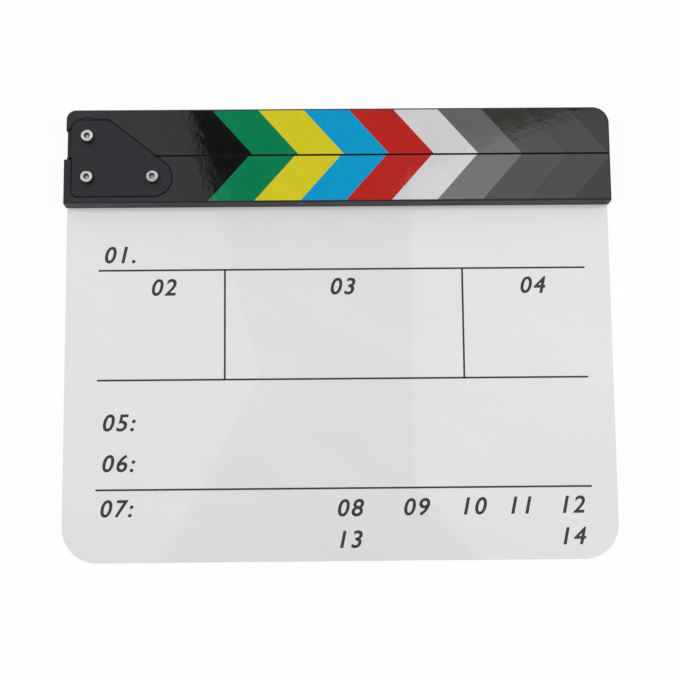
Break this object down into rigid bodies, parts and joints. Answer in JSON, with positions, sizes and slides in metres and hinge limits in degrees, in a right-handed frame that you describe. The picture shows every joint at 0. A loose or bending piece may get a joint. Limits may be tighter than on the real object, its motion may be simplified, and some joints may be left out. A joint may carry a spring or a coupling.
{
  "type": "clapperboard",
  "caption": "Film clapperboard: a glossy white slate board under a pair of black clap sticks with slanted colour bars, the upper stick hinged at the left end.",
  "frame": {"origin": "middle of the closed outline, on the back face that it lies on", "axes": "+X along the sticks to their free end, +Y from the board up to the sticks, +Z out of the front face"},
  "size_m": [0.3, 0.247, 0.018],
  "materials": {
    "board_acrylic": "polished white sheet",
    "stick_plastic": "satin black moulding",
    "printed_film": "glossy laminated print",
    "plate_plastic": "satin black",
    "screw_steel": "bright steel",
    "insert_brass": "turned",
    "washer_nylon": "natural",
    "magnet_nickel": "nickel plated"
  },
  "bodies": {
    "slate": {"slate_board": "board_acrylic", "lower_stick": "stick_plastic", "lower_film": "printed_film", "hinge_plate": "plate_plastic", "fixing_screw_left": "screw_steel", "fixing_screw_right": "screw_steel", "pivot_screw": "screw_steel", "board_screw_1": "screw_steel", "board_screw_2": "screw_steel", "board_screw_3": "screw_steel", "board_screw_4": "screw_steel", "fixing_insert_left": "insert_brass", "fixing_insert_right": "insert_brass", "pivot_insert": "insert_brass", "friction_washer_front": "washer_nylon", "friction_washer_rear": "washer_nylon", "lower_magnet": "magnet_nickel"},
    "clap_stick": {"upper_stick": "stick_plastic", "upper_film": "printed_film", "pivot_bush": "insert_brass", "upper_magnet": "magnet_nickel"}
  },
  "joints": [
    {"name": "clap_swing", "type": "hinge", "parent": "slate", "child": "clap_stick", "pos_m": [-0.137, 0.108, 0.007], "axis": [0, 0, 1], "range_deg": [0, 60]}
  ]
}
